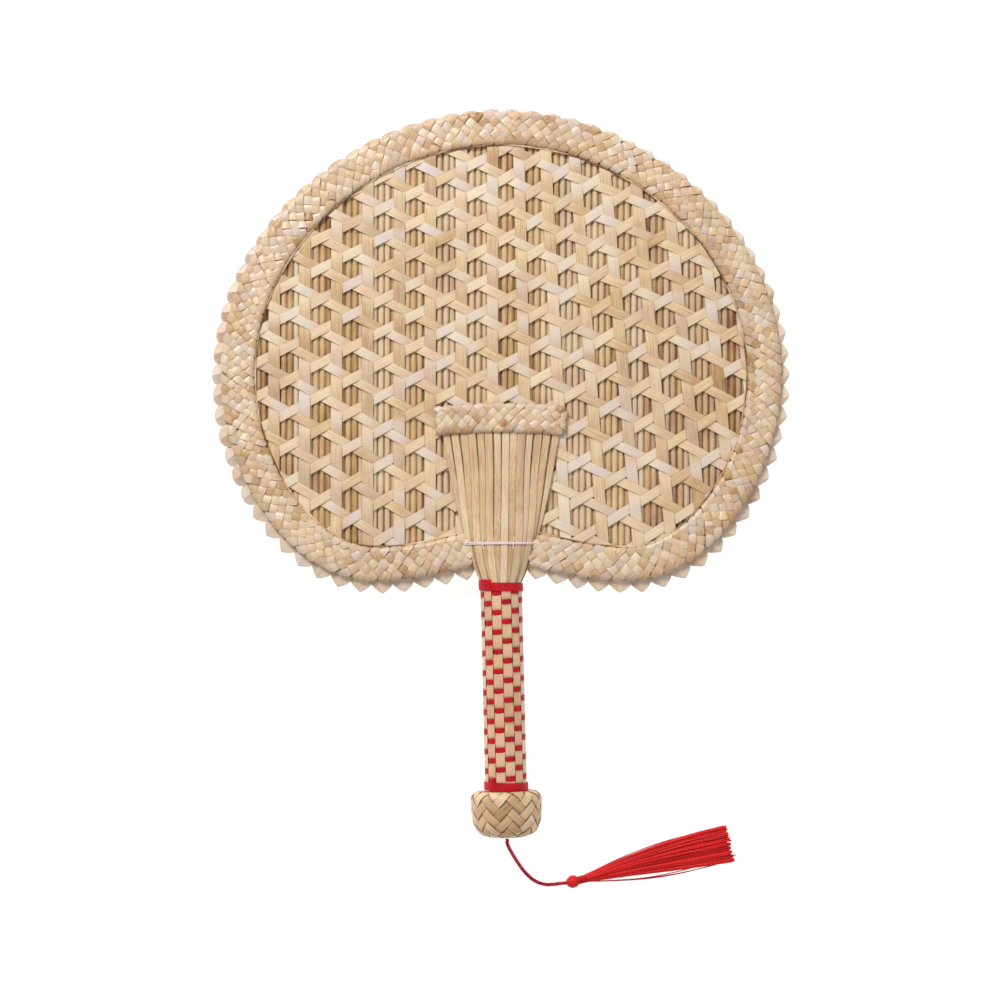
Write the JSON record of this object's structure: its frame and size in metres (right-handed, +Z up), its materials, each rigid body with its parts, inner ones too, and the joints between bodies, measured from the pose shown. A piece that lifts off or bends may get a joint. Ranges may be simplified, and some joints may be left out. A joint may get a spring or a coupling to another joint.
{
  "type": "straw fan",
  "caption": "Hand fan woven of straw: heart-shaped open-weave blade with a plaited border and sawtooth edge, ribbon-woven handle, plaited knob and a red cord tassel.",
  "frame": {"origin": "on the surface that the fan lies on, under the middle of the fan without its tassel", "axes": "+Z up out of the fan's face, +Y along the handle from the knob to the top of the blade, +X to the right"},
  "size_m": [0.2898, 0.3915, 0.0357],
  "materials": {
    "stalk_straw": "natural round straw stalks",
    "net_straw": "satin flattened straw strips",
    "plait_straw": "fine plaited straw",
    "splay_straw": "satin flattened straw",
    "warp_straw": "satin flattened straw",
    "knob_straw": "twill plaited straw",
    "knob_filling": "packed straw",
    "red_ribbon": "satin ribbon",
    "white_thread": "twisted thread",
    "cord_thread": "twisted cord",
    "tassel_thread": "silky thread"
  },
  "bodies": {
    "fan": {"stalk_mat": "stalk_straw", "stalk_bundle": "stalk_straw", "front_net": "net_straw", "back_net": "net_straw", "front_border_plait": "plait_straw", "back_border_plait": "plait_straw", "sawtooth_edging": "plait_straw", "front_cap_plait": "plait_straw", "back_cap_plait": "plait_straw", "front_splay_straw_01": "splay_straw", "front_splay_straw_02": "splay_straw", "front_splay_straw_03": "splay_straw", "front_splay_straw_04": "splay_straw", "front_splay_straw_05": "splay_straw", "front_splay_straw_06": "splay_straw", "front_splay_straw_07": "splay_straw", "front_splay_straw_08": "splay_straw", "front_splay_straw_09": "splay_straw", "front_splay_straw_10": "splay_straw", "front_splay_straw_11": "splay_straw", "front_splay_straw_12": "splay_straw", "front_splay_straw_13": "splay_straw", "front_splay_straw_14": "splay_straw", "back_splay_straw_01": "splay_straw", "back_splay_straw_02": "splay_straw", "back_splay_straw_03": "splay_straw", "back_splay_straw_04": "splay_straw", "back_splay_straw_05": "splay_straw", "back_splay_straw_06": "splay_straw", "back_splay_straw_07": "splay_straw", "back_splay_straw_08": "splay_straw", "back_splay_straw_09": "splay_straw", "back_splay_straw_10": "splay_straw", "back_splay_straw_11": "splay_straw", "back_splay_straw_12": "splay_straw", "warp_strip_01": "warp_straw", "warp_strip_02": "warp_straw", "warp_strip_03": "warp_straw", "warp_strip_04": "warp_straw", "warp_strip_05": "warp_straw", "warp_strip_06": "warp_straw", "warp_strip_07": "warp_straw", "warp_strip_08": "warp_straw", "warp_strip_09": "warp_straw", "warp_strip_10": "warp_straw", "warp_strip_11": "warp_straw", "warp_strip_12": "warp_straw", "warp_strip_13": "warp_straw", "knob_shell": "knob_straw", "knob_filling": "knob_filling", "weft_ribbon": "red_ribbon", "top_red_band": "red_ribbon", "bottom_red_band": "red_ribbon", "front_thread_tie": "white_thread", "back_thread_tie": "white_thread"},
    "cord": {"tassel_cord": "cord_thread"},
    "tassel": {"tassel_bead": "tassel_thread", "tassel_neck": "tassel_thread", "tassel_skirt": "tassel_thread"}
  },
  "joints": [
    {"name": "cord_swing", "type": "hinge", "parent": "fan", "child": "cord", "pos_m": [0.00311, -0.18278, 0.01862], "axis": [0, 0, 1], "range_deg": [-60, 45]},
    {"name": "tassel_turn", "type": "hinge", "parent": "cord", "child": "tassel", "pos_m": [0.0362, -0.20601, 0.003], "axis": [0, 0, 1], "range_deg": [-45, 45]}
  ]
}
